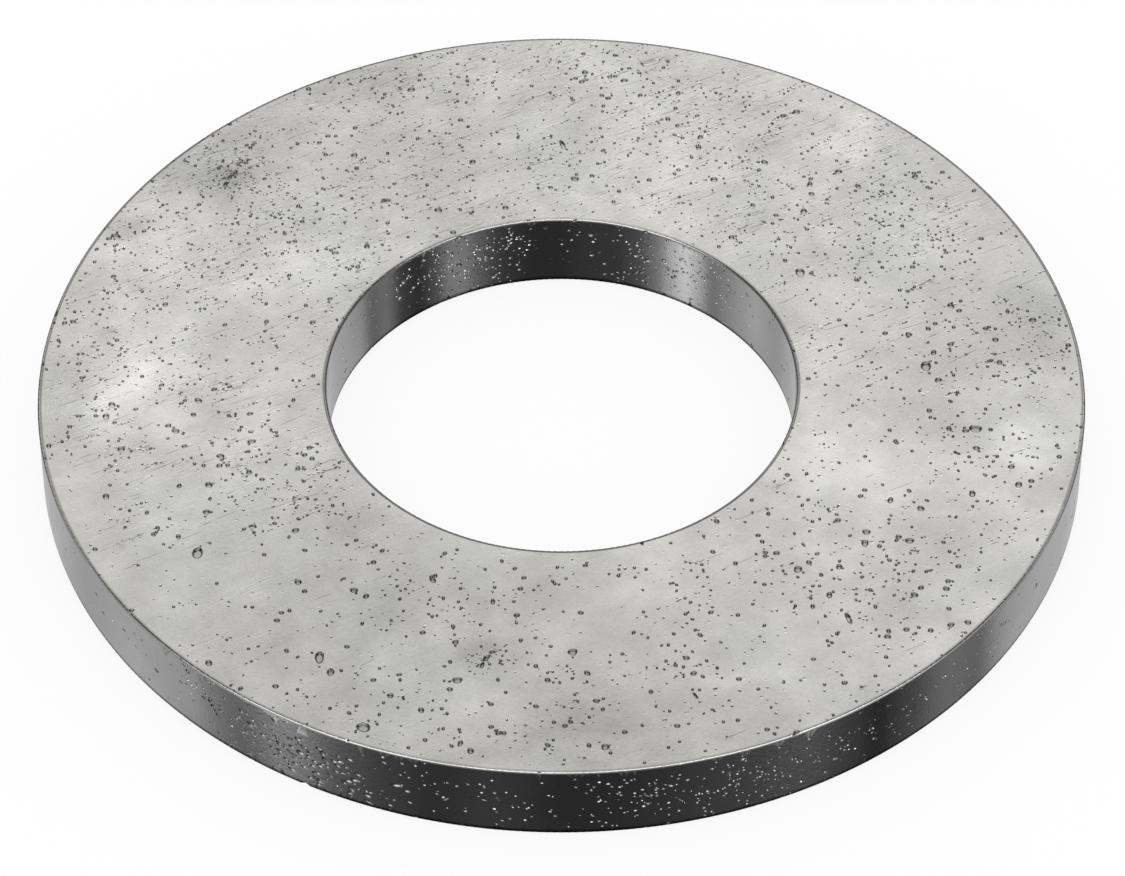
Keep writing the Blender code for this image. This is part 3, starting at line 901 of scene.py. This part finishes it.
    # Painted shade: a thin dark line on the face beside each rim, heavier at the back of the outer rim and at the front
    # of the hole.
    outer_rim = t.math("MULTIPLY", t.remap(reach, R_OUT - EDGE - 0.028, R_OUT - EDGE - 0.010, 0.0, 1.0), t.remap(depth_in, -7.0, 4.0, 0.22, 0.74))
    inner_rim = t.math("MULTIPLY", t.remap(reach, R_BORE + EDGE + 0.010, R_BORE + EDGE + 0.026, 1.0, 0.0), t.remap(depth_in, -2.5, 3.0, 0.82, 0.24))
    rim = t.math("MULTIPLY", t.math("MAXIMUM", outer_rim, inner_rim), t.remap(wall, 0.0, 0.22, 1.0, 0.0))
    # Painted shade: a dark line on the outer edge break and on the hole's edge breaks, heavier towards the front of the
    # hole.
    outer_edge_shade = t.math("MULTIPLY", t.remap(wall, 0.0, 0.03, 0.0, 0.30), t.remap(wall, 0.06, 0.16, 1.0, 0.0))
    hole_edge_shade = t.math("MULTIPLY", t.remap(wall, 0.0, 0.05, 0.0, 1.0), t.remap(wall, 0.55, 0.85, 1.0, 0.0))
    hole_edge_shade = t.math("MULTIPLY", hole_edge_shade, t.remap(depth_in, 1.6, 3.4, 0.60, 0.18))
    edge_shade = t.math("MAXIMUM", t.math("MULTIPLY", outer_edge_shade, t.math("SUBTRACT", 1.0, in_hole)), t.math("MULTIPLY", hole_edge_shade, in_hole))
    edge_shade = t.math("MAXIMUM", edge_shade, rim)
    tone = t.math("MULTIPLY", tone, t.math("SUBTRACT", 1.0, t.math("MAXIMUM", low_rim, edge_shade)))

    warm = t.node("ShaderNodeMix", data_type="RGBA")
    warm.inputs["A"].default_value = (0.620, 0.615, 0.589, 1)
    warm.inputs["B"].default_value = (0.630, 0.616, 0.596, 1)
    t.link(t.remap(t.noise(p, 0.55, 2.0), 0.42, 0.62, 0.0, 1.0), warm.inputs["Factor"])
    grey = t.node("ShaderNodeMix", data_type="RGBA")
    t.link(wall, grey.inputs["Factor"])
    t.link(warm.outputs["Result"], grey.inputs["A"])
    grey.inputs["B"].default_value = (0.590, 0.590, 0.588, 1)
    shade = t.node("ShaderNodeVectorMath", operation="SCALE")
    t.link(grey.outputs["Result"], shade.inputs[0])
    t.link(tone, shade.inputs["Scale"])
    t.link(shade.outputs[0], bsdf.inputs["Base Color"])

    rough = t.math("MULTIPLY_ADD", t.math("SUBTRACT", n2, 0.5), -0.09, 0.135)
    rough = t.math("MULTIPLY_ADD", t.math("SUBTRACT", speck, 0.5), 0.08, rough)
    rough = t.math("MULTIPLY_ADD", mark_shade_mask, 0.04, rough)
    rough = t.math("SUBTRACT", rough, t.math("MULTIPLY", wall, 0.035))
    rough = t.math("MAXIMUM", rough, 0.085)
    t.link(rough, bsdf.inputs["Roughness"])

    bump = t.node("ShaderNodeBump")
    bump.inputs["Strength"].default_value = 1.0
    bump.inputs["Distance"].default_value = 0.0000010
    height = t.math("MULTIPLY", t.noise(p, 15.0, 4.0, 0.65), 5.2)
    height = t.math("MULTIPLY", height, t.remap(face, 0.0, 1.0, 0.30, 1.0))
    height = t.math("MULTIPLY_ADD", t.math("MULTIPLY", hair, face), 85.0, height)
    height = t.math("MULTIPLY_ADD", t.math("MULTIPLY", n2, face), 8.0, height)
    height = t.math("SUBTRACT", height, t.math("MULTIPLY", dimples, 9.0))
    t.link(height, bump.inputs["Height"])
    t.link(bump.outputs["Normal"], bsdf.inputs["Normal"])
    return mat


mesh.materials.append(steel_material())
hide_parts("washer_disc")
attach(washer, "root")


# ---------------------------------------------------------------------------
# Studio: a pale floor, a soft tent of light all round, and the camera.
# ---------------------------------------------------------------------------
def lin(v):
    """Linear light of a display grey from 0 to 255."""
    v = v / 255
    return v / 12.92 if v <= 0.04045 else ((v + 0.055) / 1.055) ** 2.4


# What the steel sees, as the grey it would show: rows of elevation, each a list of azimuth and grey. Azimuth 0 is the front.
TENT = [
    (-90, [(-180, 22), (180, 22)]),
    (-64, [(-180, 60), (-120, 60), (-90, 55), (-60, 50), (-30, 34), (0, 28), (30, 34), (60, 50), (90, 55), (120, 60), (180, 60)]),
    (-50, [(-180, 165), (-150, 159), (-128, 146), (-108, 158), (-92, 148), (-84, 112), (-75, 66), (-63, 102), (-52, 68), (-40, 56), (-29, 44), (-16, 55), (0, 41), (12, 42), (24, 49),
           (34, 56), (44, 52), (58, 58), (68, 52), (75, 30), (84, 66), (95, 100), (107, 84), (114, 138), (122, 155), (150, 158), (180, 165)]),
    (-42, [(-180, 155), (-150, 146), (-134, 136), (-110, 150), (-99, 138), (-90, 122), (-80, 106), (-71, 172), (-64, 206), (-57, 178), (-48, 112), (-38, 68), (-26, 50), (-10, 46),
           (0, 39), (12, 38), (24, 46), (32, 58), (40, 88), (50, 124), (57, 124), (65, 74), (75, 42), (86, 52), (97, 106), (109, 88), (119, 130), (135, 144), (180, 155)]),
    (-22, [(-180, 90), (-150, 56), (-126, 60), (-100, 140), (-60, 140), (-30, 80), (0, 65), (30, 80), (60, 125), (100, 130), (126, 60), (150, 56), (180, 90)]),
    (0, [(-180, 152), (-166, 140), (-148, 70), (-126, 56), (-104, 130), (-60, 150), (-30, 110), (0, 100), (30, 110), (60, 150), (104, 130), (126, 56), (148, 70), (166, 140), (180, 152)]),
    (18, [(-180, 250), (-165, 238), (-148, 190), (-115, 165), (-85, 140), (-70, 170), (-55, 205), (-40, 175), (-20, 100), (0, 85), (20, 100), (40, 175), (55, 205), (70, 170), (85, 140), (115, 165), (148, 190), (165, 238), (180, 250)]),
    (29, [(-180, 232), (-165, 225), (-150, 205), (-128, 160), (-106, 80), (-86, 80), (-70, 220), (-44, 225), (-20, 130), (0, 115), (20, 130), (44, 225), (70, 220), (86, 80), (106, 80), (128, 160), (150, 205), (165, 225), (180, 232)]),
    (41, [(-180, 185), (-152, 183), (-134, 130), (-112, 34), (-85, 40), (-68, 285), (-44, 285), (-22, 165), (0, 150), (22, 165), (44, 285), (68, 285), (85, 40), (112, 34), (134, 130), (152, 183), (180, 185)]),
    (50, [(-180, 203), (-156, 197), (-132, 85), (-110, 44), (-88, 45), (-66, 262), (-36, 288), (0, 225), (36, 288), (66, 262), (88, 45), (110, 44), (132, 85), (156, 197), (180, 203)]),
    (59, [(-180, 158), (-158, 155), (-130, 50), (-90, 50), (-62, 250), (-30, 290), (0, 295), (30, 290), (62, 250), (90, 50), (130, 50), (158, 155), (180, 158)]),
    (74, [(-180, 205), (-140, 170), (-110, 110), (-80, 110), (-50, 240), (0, 295), (50, 240), (80, 110), (110, 110), (140, 170), (180, 205)]),
    (90, [(-180, 230), (180, 230)]),
]
REFLECTS = 0.60


def studio_world():
    world = bpy.data.worlds.new("studio")
    bpy.context.scene.world = world
    world.use_nodes = True
    world.cycles.sampling_method = "NONE"
    t = Tree(world.node_tree)
    out = t.node("ShaderNodeOutputWorld")
    d = t.node("ShaderNodeSeparateXYZ")
    t.link(t.node("ShaderNodeTexCoord").outputs["Generated"], d.inputs[0])
    x, y, z = d.outputs
    az = t.math("ARCTAN2", x, t.math("MULTIPLY", y, -1.0))
    az = t.math("MULTIPLY_ADD", az, 1 / (2 * math.pi), 0.5)
    el = t.math("MULTIPLY", t.math("ARCSINE", z), 180 / math.pi)
    value = None
    for i, (e, row) in enumerate(TENT):
        ramp = t.node("ShaderNodeValToRGB")
        ramp.color_ramp.interpolation = "EASE"
        el_ = ramp.color_ramp.elements
        for k, (a, g) in enumerate(row):
            v = lin(g) / REFLECTS
            pos = (a + 180) / 360
            if k < 2:
                item = el_[k]
                item.position = pos
            else:
                item = el_.new(pos)
            item.color = (v, v, v, 1)
        t.link(az, ramp.inputs[0])
        if value is None:
            value = ramp.outputs["Color"]
        else:
            mix = t.node("ShaderNodeMix", data_type="RGBA")
            t.link(t.remap(el, TENT[i - 1][0], e, 0.0, 1.0, "SMOOTHSTEP"), mix.inputs["Factor"])
            t.link(value, mix.inputs["A"])
            t.link(ramp.outputs["Color"], mix.inputs["B"])
            value = mix.outputs["Result"]
    tent = t.node("ShaderNodeBackground")
    t.link(value, tent.inputs["Color"])
    even = t.node("ShaderNodeBackground")
    even.inputs["Color"].default_value = (0.995, 0.995, 0.995, 1)
    mix = t.node("ShaderNodeMixShader")
    t.link(t.node("ShaderNodeLightPath").outputs["Is Glossy Ray"], mix.inputs[0])
    t.link(even.outputs[0], mix.inputs[1])
    t.link(tent.outputs[0], mix.inputs[2])
    t.link(mix.outputs[0], out.inputs["Surface"])


def floor():
    n, reach = 96, 0.95
    verts = [(0, 0, 0)] + [(reach * math.cos(2 * math.pi * i / n), reach * math.sin(2 * math.pi * i / n), 0) for i in range(n)]
    m = bpy.data.meshes.new("floor")
    m.from_pydata(verts, [], [(0, 1 + i, 1 + (i + 1) % n) for i in range(n)])
    f = bpy.data.objects.new("floor", m)
    bpy.context.scene.collection.objects.link(f)
    mat = bpy.data.materials.new("floor_white")
    mat.use_nodes = True
    b = mat.node_tree.nodes["Principled BSDF"]
    b.inputs["Base Color"].default_value = (0.14, 0.14, 0.14, 1)
    b.inputs["Roughness"].default_value = 1.0
    b.inputs["Specular IOR Level"].default_value = 0.0
    b.inputs["Emission Color"].default_value = (0.86, 0.86, 0.86, 1)
    b.inputs["Emission Strength"].default_value = 1.0
    m.materials.append(mat)
    f.visible_glossy = False


def camera():
    # The view of a 1125 by 876 frame: 5327 px focal length, 44.5 degrees above the face, 80.9 mm from it.
    tilt, away = math.radians(44.494), 10.190 * R_OUT * MM
    target = Vector((0, 0, THICK * MM))
    back = Vector((0, -math.cos(tilt), math.sin(tilt)))
    data = bpy.data.cameras.new("camera")
    data.sensor_fit, data.sensor_width = "HORIZONTAL", 36.0
    data.lens = 5327.02 / 1125 * 36.0
    data.shift_x, data.shift_y = 1.033 / 1125, -58.11 / 1125
    data.clip_start, data.clip_end = 0.005, 5.0
    cam = bpy.data.objects.new("camera", data)
    bpy.context.scene.collection.objects.link(cam)
    cam.location = target + back * away
    cam.rotation_euler = (-back).to_track_quat("-Z", "Y").to_euler()
    bpy.context.scene.camera = cam


studio_world()
floor()
camera()
bpy.context.scene.view_settings.view_transform = "Standard"
bpy.context.scene.view_settings.look = "None"

bpy.context.view_layer.update()
